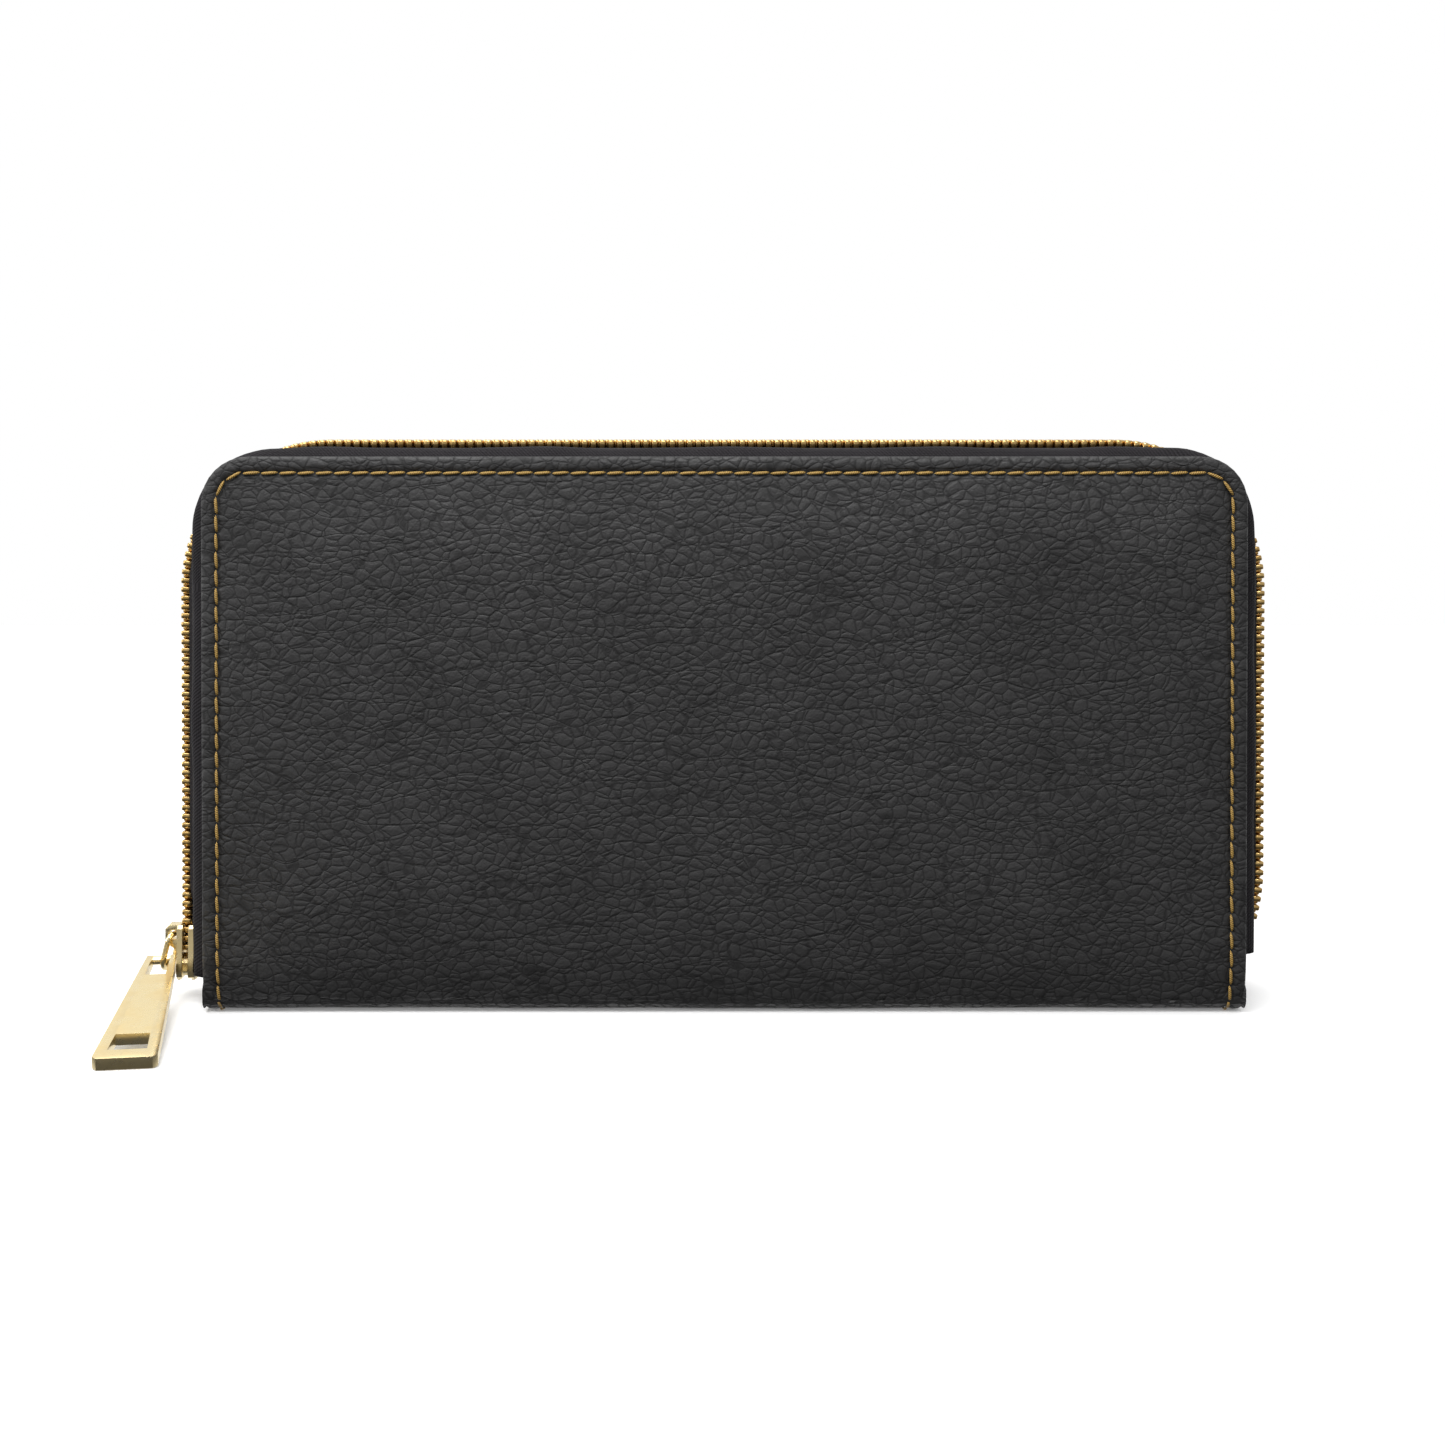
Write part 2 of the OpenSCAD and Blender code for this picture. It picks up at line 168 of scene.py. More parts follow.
def leather(name, dark, light, cell=2 * MM, depth=0.18 * MM, roughness=0.5, shine=0.3):
    """Pebbled leather: domed cells of uneven size, longer creases drawn to one side, and pores; painted
    shade darkens the creases.
    """
    n = Nodes(name)
    flat = n.warped(n.along(), 130, 3 * MM)
    drawn = n.add("ShaderNodeMapping", {"Vector": flat, "Rotation": (0, 0, math.radians(-28)),
                                        "Scale": (0.86, 1.12, 1)}).outputs[0]
    edge = n.cells(drawn, 1 / cell)
    dome = n.ramp(edge, 0.0, 0.42)
    cut = n.ramp(edge, 0.0, 0.12)
    small = n.ramp(n.cells(flat, 2.3 / cell), 0.0, 0.3)
    fold_map = n.add("ShaderNodeMapping", {"Vector": n.warped(n.along(), 60, 9 * MM),
                                           "Rotation": (0, 0, math.radians(-24)), "Scale": (0.45, 1.5, 1)})
    fold = n.ramp(n.cells(fold_map.outputs[0], 0.3 / cell), 0.0, 0.05)
    pores = n.noise(n.along(), 4600, 2)
    cloud = n.noise(n.along(), 40, 4, 0.6)
    height = n.math("ADD", n.math("MULTIPLY", dome, 0.5), n.math("MULTIPLY", cut, 0.3))
    height = n.math("ADD", height, n.math("MULTIPLY", small, 0.16))
    height = n.math("ADD", height, n.math("MULTIPLY", fold, 0.3))
    # The colour: a random cloudy tone, times painted shade that darkens the cell creases and the long
    # creases.
    tone = n.math("MULTIPLY", n.ramp(cloud, 0.3, 0.7, 0.55, 1.0), n.ramp(cut, 0, 1, 0.25, 1.0))
    tone = n.math("MULTIPLY", tone, n.ramp(fold, 0, 1, 0.4, 1.0))
    fine = n.bump(pores, 0.03 * MM, 0.5)
    n.set(Base_Color=n.blend(tone, dark, light),
          Roughness=n.ramp(n.math("MULTIPLY", cloud, cut), 0.1, 0.7, roughness + 0.16, roughness - 0.04),
          Normal=n.bump(height, depth, 1.0, fine))
    n.shader.inputs["Specular IOR Level"].default_value = shine
    return n.material


def woven(name, dark, light, thread=0.55 * MM, twill=True, sheen=0.25):
    """Cloth of crossing threads; twill steps one thread along in each row; painted shade darkens the low
    spots between threads.
    """
    n = Nodes(name)
    split = n.add("ShaderNodeSeparateXYZ", {0: n.along()})
    turn = 2 * math.pi / thread
    u = n.math("MULTIPLY", split.outputs[0], turn)
    v = n.math("MULTIPLY", split.outputs[1], turn)
    across = n.math("SINE", n.math("ADD", u, v) if twill else u)
    along = n.math("SINE", n.math("MULTIPLY", v, 2.0) if twill else v)
    weave = n.math("ADD", n.math("MULTIPLY", across, 0.32), n.math("MULTIPLY", along, 0.14))
    height = n.math("ADD", weave, 0.5)
    fuzz = n.noise(n.along(), 2600, 3)
    cloud = n.noise(n.along(), 120, 3)
    # The colour: painted shade, darker where the weave is low and lighter on the raised threads, times a
    # random cloudy tone.
    tone = n.math("MULTIPLY", n.ramp(height, 0.15, 0.85, 0.2, 1.0), n.ramp(cloud, 0.3, 0.7, 0.7, 1.0))
    n.set(Base_Color=n.blend(tone, dark, light),
          Roughness=n.ramp(fuzz, 0.3, 0.7, 0.72, 0.9),
          Normal=n.bump(height, 0.12 * MM, 0.9, n.bump(fuzz, 0.04 * MM, 0.5)))
    n.shader.inputs["Sheen Weight"].default_value = sheen
    n.shader.inputs["Specular IOR Level"].default_value = 0.2
    return n.material


def metal(name, colour, worn, roughness, scratch=0.012 * MM):
    """Plated metal: a warm tint that shifts a little, soft scratches and handling marks."""
    n = Nodes(name)
    cloud = n.noise(n.place(), 260, 4, 0.6)
    stretched = n.add("ShaderNodeMapping", {"Vector": n.place(), "Scale": (900, 5200, 900)})
    lines = n.noise(stretched.outputs[0], 1.0, 3)
    n.set(Base_Color=n.blend(n.ramp(cloud, 0.35, 0.7), colour, worn),
          Roughness=n.ramp(n.math("ADD", n.math("MULTIPLY", cloud, 0.7), n.math("MULTIPLY", lines, 0.3)),
                           0.3, 0.7, roughness - 0.05, roughness + 0.09),
          Normal=n.bump(lines, scratch, 0.35))
    n.shader.inputs["Metallic"].default_value = 1.0
    return n.material


def twisted_thread(name, dark, light):
    """Waxed thread: a slanting twist round each stitch, with painted shade in the grooves of the twist."""
    n = Nodes(name)
    split = n.add("ShaderNodeSeparateXYZ", {0: n.along()})
    twist = n.math("SINE", n.math("MULTIPLY", n.math("ADD", split.outputs[0], split.outputs[1]),
                                  2 * math.pi / (0.42 * MM)))
    height = n.ramp(twist, -1, 1)
    fuzz = n.noise(n.place(), 4200, 2)
    # The colour: painted shade, darker in the twist's grooves and lighter on its ridges, with random fuzz
    # in the tone.
    n.set(Base_Color=n.blend(n.math("MULTIPLY", height, n.ramp(fuzz, 0.2, 0.7, 0.6, 1.0)), dark, light),
          Roughness=n.ramp(fuzz, 0.3, 0.7, 0.5, 0.66),
          Normal=n.bump(height, 0.07 * MM, 0.8))
    return n.material


def card(name, dark, light):
    """Pressed board with short fibres."""
    n = Nodes(name)
    fibre = n.noise(n.warped(n.place(), 300, 1.5 * MM), 900, 5, 0.65)
    n.set(Base_Color=n.blend(n.ramp(fibre, 0.3, 0.7), dark, light),
          Roughness=n.ramp(fibre, 0.3, 0.7, 0.85, 0.95),
          Normal=n.bump(fibre, 0.05 * MM, 0.5))
    return n.material


def floor_paint(name, tone):
    n = Nodes(name)
    grain = n.noise(n.place(), 700, 4)
    n.set(Base_Color=n.blend(grain, (tone,) * 3, (tone + 0.01,) * 3), Roughness=0.62,
          Emission_Color=(1, 1, 1, 1), Emission_Strength=0.17)
    return n.material


OUTER_LEATHER = leather("pebbled_leather", (0.012, 0.0118, 0.012), (0.037, 0.0365, 0.037))
POCKET_LEATHER = leather("pocket_leather", (0.010, 0.010, 0.0105), (0.026, 0.0255, 0.026),
                         cell=1.4 * MM, depth=0.09 * MM, roughness=0.52)
LINING_CLOTH = woven("lining_cloth", (0.006, 0.006, 0.007), (0.022, 0.022, 0.024),
                     thread=0.4 * MM, twill=False)
GUSSET_CLOTH = woven("gusset_cloth", (0.006, 0.006, 0.007), (0.024, 0.024, 0.026), thread=0.45 * MM)
TAPE_CLOTH = woven("tape_cloth", (0.003, 0.0027, 0.0032), (0.017, 0.0145, 0.0175), thread=0.7 * MM,
                   sheen=0.02)
THREAD = twisted_thread("gold_thread", (0.16, 0.085, 0.015), (0.56, 0.36, 0.09))
DARK_THREAD = twisted_thread("dark_thread", (0.008, 0.008, 0.009), (0.03, 0.03, 0.032))
TOOTH_METAL = metal("tooth_gold", (0.66, 0.46, 0.19), (0.50, 0.32, 0.11), 0.22)
PULL_METAL = metal("satin_gold", (0.86, 0.72, 0.42), (0.80, 0.64, 0.34), 0.27, scratch=0.004 * MM)
BOARD = card("board", (0.030, 0.027, 0.025), (0.070, 0.064, 0.058))


# ---------- meshes ----------

def build(name, points, faces, material, flat=None, body=None, replaces=(), smooth=True):
    """A piece from its points, in the frame, with its flat coordinates if it has them."""
    mesh = bpy.data.meshes.new(name)
    mesh.from_pydata([tuple(p) for p in points], [], faces)
    if flat is not None:
        layer = mesh.uv_layers.new(name="flat")
        for loop in mesh.loops:
            layer.data[loop.index].uv = flat[loop.vertex_index]
    work = bmesh.new()
    work.from_mesh(mesh)
    bmesh.ops.remove_doubles(work, verts=work.verts, dist=1e-6)
    bmesh.ops.recalc_face_normals(work, faces=work.faces)
    work.to_mesh(mesh)
    work.free()
    mesh.materials.append(material)
    mesh.polygons.foreach_set("use_smooth", [smooth] * len(mesh.polygons))
    piece = bpy.data.objects.new(name, mesh)
    bpy.context.scene.collection.objects.link(piece)
    if body:
        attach(piece, body)
    if replaces:
        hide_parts(*replaces)
    return piece


def evenly(low, high, step):
    count = max(1, math.ceil((high - low) / step - 1e-6))
    return [low + (high - low) * i / count for i in range(count + 1)]


def strips(rows, closed=False):
    """Quads between rows of point numbers."""
    faces = []
    for a, b in zip(rows, rows[1:]):
        last = len(a) if closed else len(a) - 1
        faces += [(a[i], a[(i + 1) % len(a)], b[(i + 1) % len(b)], b[i]) for i in range(last)]
    return faces


class Panel:
    """A flat panel, half_w to each side and from low to high, with rounded upper corners.

    place(x, s, out) puts a flat point into the frame. relief(inset, length, x, s) says how far the
    face stands out there, and back(inset, s) how far behind it the panel's back is. inset is the
    distance from the edge, and length the way along the edge.
    """

    def __init__(self, half_w, low, high, corner, place, relief, back, step=1.2 * MM, insets=None):
        self.points, self.flat, self.faces = [], [], []
        insets = insets or evenly(0, corner, 0.8 * MM)
        sides, tops = evenly(low, high - corner, step), evenly(corner - half_w, half_w - corner, step)
        turns = [math.pi / 2 * i / 8 for i in range(1, 8)]

        def ring(inset):
            left = [(inset - half_w, s) for s in sides]
            bend = corner - inset
            arc = [(corner - half_w - bend * math.cos(a), high - corner + bend * math.sin(a))
                   for a in turns]
            top = [(x, high - inset) for x in tops]
            right = [(-x, s) for x, s in arc[::-1]] + [(half_w - inset, s) for s in sides[::-1]]
            return left + arc + top + right

        guide, lengths = ring(STITCH_INSET), [0]
        for p, q in zip(guide, guide[1:]):
            lengths.append(lengths[-1] + math.dist(p, q))
        inside = [[(x, s) for x in tops] for s in sides]
        layers = []
        for face in (1, 0):
            def put(x, s, inset, length):
                out = relief(inset, length, x, s) if face else -back(inset, s)
                self.points.append(place(x, s, out))
                self.flat.append((x, s))
                return len(self.points) - 1
            rings = [[put(*p, inset, length) for p, length in zip(ring(inset), lengths)]
                     for inset in insets]
            grid = [[put(*p, min(half_w - abs(p[0]), high - p[1]), 0) for p in row] for row in inside]
            self.faces += strips(rings) + strips(grid)
            bottom = [r[0] for r in rings] + grid[0] + [r[-1] for r in rings[::-1]]
            layers.append((rings[0], bottom))
        for outer, inner in zip(*layers):
            self.faces += strips([outer, inner])


def tube_rows(points, rows, faces, section, wrap=True):
    """Adds a closed row of points and joins it to the row before."""
    start = len(points)
    points.extend(section)
    rows.append(list(range(start, start + len(section))))
    if len(rows) > 1:
        faces.extend(strips(rows[-2:], closed=wrap))


# ---------- covers ----------

FLOOR_L = HALF_T - FOLD_R
ARC_L = FOLD_R * math.pi / 2
SHELL_L = FLOOR_L + ARC_L + TOP - FOLD_R


def on_shell(side):
    """Wraps the leather: along the bottom from the middle, round the fold and up the cover."""
    def place(x, s, out):
        turn = min(max((s - FLOOR_L) / FOLD_R, 0), math.pi / 2)
        y = min(s, FLOOR_L) + FOLD_R * math.sin(turn)
        z = FOLD_R * (1 - math.cos(turn)) + max(s - FLOOR_L - ARC_L, 0)
        return (x, side * (y + out * math.sin(turn)), max(z - out * math.cos(turn), 0))
    return place


def sunk(s):
    """How far the leather draws in round the fold."""
    bend = FLOOR_L + ARC_L / 2
    onset = min(max((s - FLOOR_L + 2 * MM) / (bend - FLOOR_L + 2 * MM), 0), 1)
    return 1.3 * MM * math.exp(-(max(s - bend, 0) / (6 * MM)) ** 2) * onset ** 2 * (3 - 2 * onset)


def shell_relief(inset, length, x, s):
    """The face: a rounded edge, a stitched channel that dips at each hole, and a soft crown."""
    edge = 0.8 * MM
    rounding = edge - math.sqrt(max(edge ** 2 - max(edge - inset, 0) ** 2, 0))
    dip = math.exp(-((inset - STITCH_INSET) / (0.62 * MM)) ** 2)
    pucker = 1 + 0.4 * math.cos(2 * math.pi * length / STITCH_PITCH)
    lip = 0.14 * math.exp(-((inset - 1.8 * MM) / (0.8 * MM)) ** 2)
    rise = max(s - FLOOR_L - 1 * MM, 0)
    crown = (1.5 * (1 - math.exp(-(max(inset - STITCH_INSET, 0) / (10 * MM)) ** 1.6))
             * (1 - math.exp(-(rise / (15 * MM)) ** 2)))
    wave = (0.3 * noise.noise((x * 22, s * 22, 3.1)) + 0.1 * noise.noise((x * 70, s * 70, 9.1))
            ) * min(inset / (6 * MM), 1)
    return (lip + crown + wave - 0.4 * dip * pucker) * MM - sunk(s) - rounding


def shell_back(inset, s):
    """The back: one leather deep, and two where the edge is turned over."""
    turned = inset < TURNED_EDGE_W and s > FLOOR_L + ARC_L + 3 * MM
    rounding = max(0.45 * MM - inset, 0)
    return (2.15 * MM if turned else LEATHER_T) - rounding


def stitch_places():
    """Where each stitch is on the flat leather, with its direction."""
    w, high, r = HALF_W - STITCH_INSET, SHELL_L - STITCH_INSET, CORNER_R - STITCH_INSET
    low = FLOOR_L - 3 * MM
    corner, side, over = r * math.pi / 2, high - r - low, 2 * (w - r)
    total = 2 * (side + corner) + over
    count = int(total / STITCH_PITCH)
    for i in range(count):
        at = (i + 0.5) * total / count
        mirrored = at > total / 2
        at = total - at if mirrored else at
        if at < side:
            x, s, turn = -w, low + at, math.pi / 2
        elif at < side + corner:
            a = (at - side) / r
            x, s, turn = r - w - r * math.cos(a), high - r + r * math.sin(a), math.pi / 2 - a
        else:
            x, s, turn = r - w + at - side - corner, high, 0
        yield (-x if mirrored else x), s, (math.pi - turn if mirrored else turn)


def stitches(name, places, place, material, depth=0.02 * MM, length=3.35 * MM, width=0.6 * MM, slant=4):
    """A row of stitches, each a fat thread that dives into the leather at both ends."""
    points, faces, flat = [], [], []
    for x, s, turn in places:
        turn += math.radians(slant)
        dx, ds = math.cos(turn), math.sin(turn)
        rows = []
        for i in range(9):
            t = i / 8 * 2 - 1
            fat = width / 2 * math.sqrt(max(1 - abs(t) ** 3.2, 0.02))
            lift = depth + 0.16 * MM * (1 - t * t) - 0.2 * MM * t ** 8
            section = []
            for k in range(8):
                a = k * math.pi / 4
                across, up = fat * math.cos(a), lift + fat * math.sin(a) * 0.9
                px = x + dx * t * length / 2 - ds * across
                ps = s + ds * t * length / 2 + dx * across
                section.append(place(px, ps, up))
                flat.append((t * length / 2, a * width / 4))
            tube_rows(points, rows, faces, section)
        faces += [tuple(rows[0][::-1]), tuple(rows[-1])]
    return build(name, points, faces, material, flat)


def cover(side, half):
    """A cover's leather with its half of the spine, and the gold stitching round it."""
    place = on_shell(side)
    insets = [i * MM for i in (0, .12, .3, .6, 1, 1.4, 1.8, 2.2, 2.55, 2.85, 3.1, 3.35, 3.65, 4,
                               4.6, 5.6, 7.2)]
    panel = Panel(HALF_W, 0, SHELL_L, CORNER_R, place, shell_relief, shell_back, insets=insets + [CORNER_R])
    shell = build(f"{half}_shell", panel.points, panel.faces, OUTER_LEATHER, panel.flat,
                  replaces=(f"{half}_leather",) + (("spine_leather",) if side < 0 else ()))
    thread = stitches(f"{half}_thread", stitch_places(),
                      lambda x, s, out: place(x, s, out - sunk(s)), THREAD)
    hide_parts(f"{half}_stitching")
    for piece in (shell, thread):
        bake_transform(piece)


cover(-1, "front")
cover(1, "back")


# ---------- main zip ----------

def chain_length():
    side = CHAIN_TOP - CHAIN_R - CHAIN_LOW
    over = 2 * (CHAIN_HALF_W - CHAIN_R)
    return side, CHAIN_R * math.pi / 2, over, side - (TAIL_Z - CHAIN_LOW), TAIL_R * TAIL_TURN


def chain_point(s):
    """Where the chain is at length s: the point in x and z, and its outward angle."""
    side, corner, over, down, _ = chain_length()
    cx, cz = CHAIN_HALF_W - CHAIN_R, CHAIN_TOP - CHAIN_R
    if s < side:
        return -CHAIN_HALF_W, CHAIN_LOW + s, math.pi
    s -= side
    if s < corner:
        a = math.pi - s / CHAIN_R
        return CHAIN_R * math.cos(a) - cx, cz + CHAIN_R * math.sin(a), a
    s -= corner
    if s < over:
        return s - cx, CHAIN_TOP, math.pi / 2
    s -= over
    if s < corner:
        a = math.pi / 2 - s / CHAIN_R
        return cx + CHAIN_R * math.cos(a), cz + CHAIN_R * math.sin(a), a
    s -= corner
    if s < down:
        return CHAIN_HALF_W, cz - s, 0
    a = -(s - down) / TAIL_R
    return CHAIN_HALF_W - TAIL_R + TAIL_R * math.cos(a), TAIL_Z + TAIL_R * math.sin(a), a


# A tooth in millimetres: its outline on the tape, and how it narrows from bottom to top
TOOTH_MIDDLE = -0.7
TOOTH_OUTLINE = [(-2.15, -.42), (-2.05, -.52), (-1.0, -.52), (-.62, -.36), (-.2, -.34), (.1, -.46),
                 (.48, -.42), (.72, -.2), (.72, .2), (.48, .42), (.1, .46), (-.2, .34), (-.62, .36),
                 (-1.0, .52), (-2.05, .52), (-2.15, .42)]
TOOTH_LAYERS = [(-.95, .7), (-.8, .96), (.55, 1), (.85, .95), (1.02, .78), (1.08, .45)]


def teeth(name, side, offset, node, body):
    """A row of teeth along the chain, each clamped on the tape and locked past the middle."""
    points, faces = [], []
    length = sum(chain_length()) + CHAIN_R * math.pi / 2
    for i in range(int((length - 3 * MM) / TOOTH_PITCH)):
        x, z, angle = chain_point((i + offset) * TOOTH_PITCH)
        out = Vector((math.cos(angle), 0, math.sin(angle)))
        along = Vector((math.sin(angle), 0, -math.cos(angle)))
        across = Vector((0, -side, 0))
        rows = []
        for up, scale in TOOTH_LAYERS:
            middle = Vector((x, 0, z)) + out * up * MM
            section = [middle + across * (TOOTH_MIDDLE + (u - TOOTH_MIDDLE) * (0.6 + 0.4 * scale)) * MM
                       + along * v * scale * MM for u, v in TOOTH_OUTLINE]
            tube_rows(points, rows, faces, section)
        faces += [tuple(rows[0][::-1]), tuple(rows[-1])]
    build(name, points, faces, TOOTH_METAL, body=body, replaces=(node,))


teeth("front_teeth", -1, 0.25, "front_zip_teeth", "front_cover")
teeth("back_teeth", 1, 0.75, "back_zip_teeth", "back_cover")


def smooth_line(line, count):
    """A smooth curve through the points of line."""
    ends = [line[0]] + list(line) + [line[-1]]
    out = []
    for i in range(count):
        at = i / (count - 1) * (len(line) - 1)
        k = min(int(at), len(line) - 2)
        t = at - k
        a, b, c, d = (Vector(p) for p in ends[k:k + 4])
        out.append(0.5 * ((2 * b) + (c - a) * t + (2 * a - 5 * b + 4 * c - d) * t ** 2
                          + (3 * b - a - 3 * c + d) * t ** 3))
    return out


def ribbon(line, thickness):
    """The closed outline of a strip that follows a line of 2-D points."""
    left, right = [], []
    for i, p in enumerate(line):
        way = (line[min(i + 1, len(line) - 1)] - line[max(i - 1, 0)]).normalized()
        normal = Vector((-way.y, way.x)) * thickness / 2
        left.append(p + normal)
        right.append(p - normal)
    return left + right[::-1]


def ribbon_ends(rows):
    """The faces that close the two ends of a swept ribbon."""
    faces = []
    for row in (rows[0], rows[-1]):
        half = len(row) // 2
        faces += [(row[i], row[i + 1], row[-2 - i], row[-1 - i]) for i in range(half - 1)]
    return faces


def tape_pairs():
    """Pairs of points in x and z, on the sewn edge and under the chain, along the whole zip."""
    w, top = HALF_W - TAPE_INSET, TOP - TAPE_INSET
    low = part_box("front_zip_tape")[0].z
    straight_top = min(top - TAPE_R, CHAIN_TOP - CHAIN_R)
    pairs = [((-w, z), (-CHAIN_HALF_W, z)) for z in evenly(low, straight_top, 2 * MM)]
    turn = []
    for i in range(33):
        a = math.pi / 2 * i / 32
        turn.append(((TAPE_R - w - TAPE_R * math.cos(a), top - TAPE_R + TAPE_R * math.sin(a)),
                     (CHAIN_R - CHAIN_HALF_W - CHAIN_R * math.cos(a),
                      CHAIN_TOP - CHAIN_R + CHAIN_R * math.sin(a))))
    pairs += turn
    span = [i / 60 for i in range(1, 60)]
    (x0, z0), (x1, z1) = turn[-1]
    pairs += [((x0 * (1 - 2 * t), z0), (x1 * (1 - 2 * t), z1)) for t in span]
    pairs += [tuple((-x, z) for x, z in pair) for pair in turn[::-1]]
    pairs += [((w, z), (CHAIN_HALF_W, z)) for z in evenly(TAIL_Z, straight_top, 2 * MM)[::-1]]
    for i in range(1, 13):
        a = -TAIL_TURN * i / 12
        z = TAIL_Z + TAIL_R * math.sin(a)
        pairs.append(((w, z), (CHAIN_HALF_W - TAIL_R + TAIL_R * math.cos(a), z)))
    return pairs


def beyond(point, half, top, r):
    """How far a point in x and z is outside a panel with round upper corners."""
    qx, qz = abs(point.x) - (half - r), point.y - (top - r)
    return math.hypot(max(qx, 0), max(qz, 0)) + min(max(qx, qz), 0) - r


def reach_to(start, way, half, top, r):
    """The distance from start, along way, to the outline of that panel."""
    near, far = 0, 30 * MM
    for _ in range(24):
        middle = (near + far) / 2
        if beyond(start + way * middle, half, top, r) < 0:
            near = middle
        else:
            far = middle
    return near


# Distance from the mid-plane, the share of the way from the shoulder to the chain, and how far the
# tape ripples there
TAPE_BEND = [(8, 0, 1), (6.2, 0.32, 1), (4.4, 0.48, 0), (3, 0.64, 0), (2, 1, 0)]


def tape(name, side, node, body):
    """The tape bulges out past the cover between its sewn edge and the chain."""
    y0 = HALF_T - 2 * LEATHER_T - TAPE_T / 2
    points, rows, faces, flat = [], [], [], []
    run, before = 0, None
    for sewn, edge in tape_pairs():
        sewn, edge = Vector(sewn), Vector(edge)
        if before is not None:
            run += (edge - before).length
        before = edge
        full, way = (edge - sewn).length, (edge - sewn).normalized()
        lip = reach_to(sewn, way, HALF_W - 0.3 * MM, TOP - 0.3 * MM, CORNER_R)
        puff = reach_to(sewn, way, *SHOULDER)
        ripple = 0.14 * MM * math.sin(run / (6 * MM)) + 0.22 * MM * noise.noise((run * 90, 0, side))
        past_slider = 1 if edge.x > 0 else min(max((edge.y - SLIDER_CLEAR_Z) / (7 * MM), 0), 1)
        base = full - (2.15 - 1.35 * past_slider) * MM
        line = smooth_line([(0, y0), (lip * 0.8, y0), (lip + 0.05 * MM, y0 - 0.25 * MM)] + [
            (puff + (base - puff) * share + ripple * sway, y * MM) for y, share, sway in TAPE_BEND], 30)
        section = []
        for k, p in enumerate(ribbon(line, TAPE_T)):
            i = k if k < len(line) else 2 * len(line) - 1 - k
            section.append((sewn.x + way.x * p.x, side * p.y, sewn.y + way.y * p.x))
            flat.append((run, i * 0.5 * MM))
        tube_rows(points, rows, faces, section)
    faces += ribbon_ends(rows)
    piece = build(name, points, faces, TAPE_CLOTH, flat, body=body, replaces=(node,))


tape("front_tape", -1, "front_zip_tape", "front_cover")
tape("back_tape", 1, "back_zip_tape", "back_cover")


# ---------- hardware ----------

def refined(node, body, material, width, segments=3):
    """A hard piece with the model's own shape and its edges rounded."""
    mesh = frame["nodes"][node].data.copy()
    piece = bpy.data.objects.new(f"{node}_rounded", mesh)
    bpy.context.scene.collection.objects.link(piece)
    work = bmesh.new()
    work.from_mesh(mesh)
    bmesh.ops.remove_doubles(work, verts=work.verts, dist=2e-6)
    bmesh.ops.dissolve_limit(work, angle_limit=math.radians(3), verts=work.verts, edges=work.edges)
    sharp = [e for e in work.edges if len(e.link_faces) == 2 and e.calc_face_angle() > math.radians(35)]
    bmesh.ops.bevel(work, geom=sharp, offset=width, segments=segments, profile=0.5, affect="EDGES",
                    clamp_overlap=True)
    work.to_mesh(mesh)
    work.free()
    mesh.materials.clear()
    mesh.materials.append(material)
    mesh.polygons.foreach_set("use_smooth", [True] * len(mesh.polygons))
    mesh.set_sharp_from_angle(angle=math.radians(32))
    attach(piece, body)
    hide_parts(node)


refined("zip_slider", "slider", PULL_METAL, 0.16 * MM)
refined("pull_tab", "tab", PULL_METAL, 0.2 * MM)
refined("zip_bottom_stop", "back_cover", TOOTH_METAL, 0.2 * MM)
refined("coin_zip_slider", "coin_slider", PULL_METAL, 0.1 * MM)
refined("coin_zip_pull", "coin_pull", PULL_METAL, 0.14 * MM)

# ---------- inside the covers ----------

def inner_panel(node, material, body, corner, toward, rests_on, relief=None, crown=0.0):
    """A sheet in a node's place, facing toward (+1 or -1 in y), swollen by the crown in its middle."""
    low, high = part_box(node)
    face = high.y if toward > 0 else low.y
    deep = high.y - low.y
    half, wide = high.x, high.z - low.z

    def swell(s):
        return crown * math.sin(math.pi * min((s - low.z) / wide, 1))

    def out(inset, length, x, s):
        rounding = max(0.3 * MM - inset, 0) ** 2 / (0.6 * MM)
        own = relief(inset, x, s) if relief else 0
        waves = 0.05 * MM * noise.noise((x * 60, s * 60, low.y * 900))
        return swell(s) * max(1 - (x / half) ** 4, 0) + own + waves - rounding

    def back(inset, s):
        thin_edge = max(0.2 * MM - inset, 0) * 0.3
        return deep - min(swell(s) * 0.9, max(inset, 0)) - thin_edge

    panel = Panel(half, low.z, high.z, corner, lambda x, s, o: (x, face + toward * o, s), out, back,
                  step=2 * MM, insets=[i * corner / 7 for i in range(8)])
    piece = build(f"{node}_sheet", panel.points, panel.faces, material, panel.flat,
                  replaces=(node,))
    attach(piece, body)


def hem(high, drop=5 * MM):
    """A rolled upper edge with a channel for its stitches."""
    def relief(inset, x, s):
        below = high - s
        roll = 0.07 * MM if below < drop else 0
        channel = -0.09 * MM * math.exp(-((below - 2 * MM) / (0.4 * MM)) ** 2)
        return roll + channel
    return relief


def hem_thread(name, body, rows, toward):
    """The stitching under the folded edges: rows of half width, height and face."""
    places = []
    for half, z, y in rows:
        count = int(2 * (half - 4 * MM) / STITCH_PITCH)
        places += [(4 * MM - half + (i + 0.5) * STITCH_PITCH, z, 0) for i in range(count)]

    def place(x, s, out):
        nearest_face = min(rows, key=lambda row: abs(row[1] - s))[2]
        return (x, nearest_face + toward * out, s)

    piece = stitches(name, places, place, DARK_THREAD, depth=0, length=2.7 * MM, width=0.4 * MM, slant=2)
    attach(piece, body)


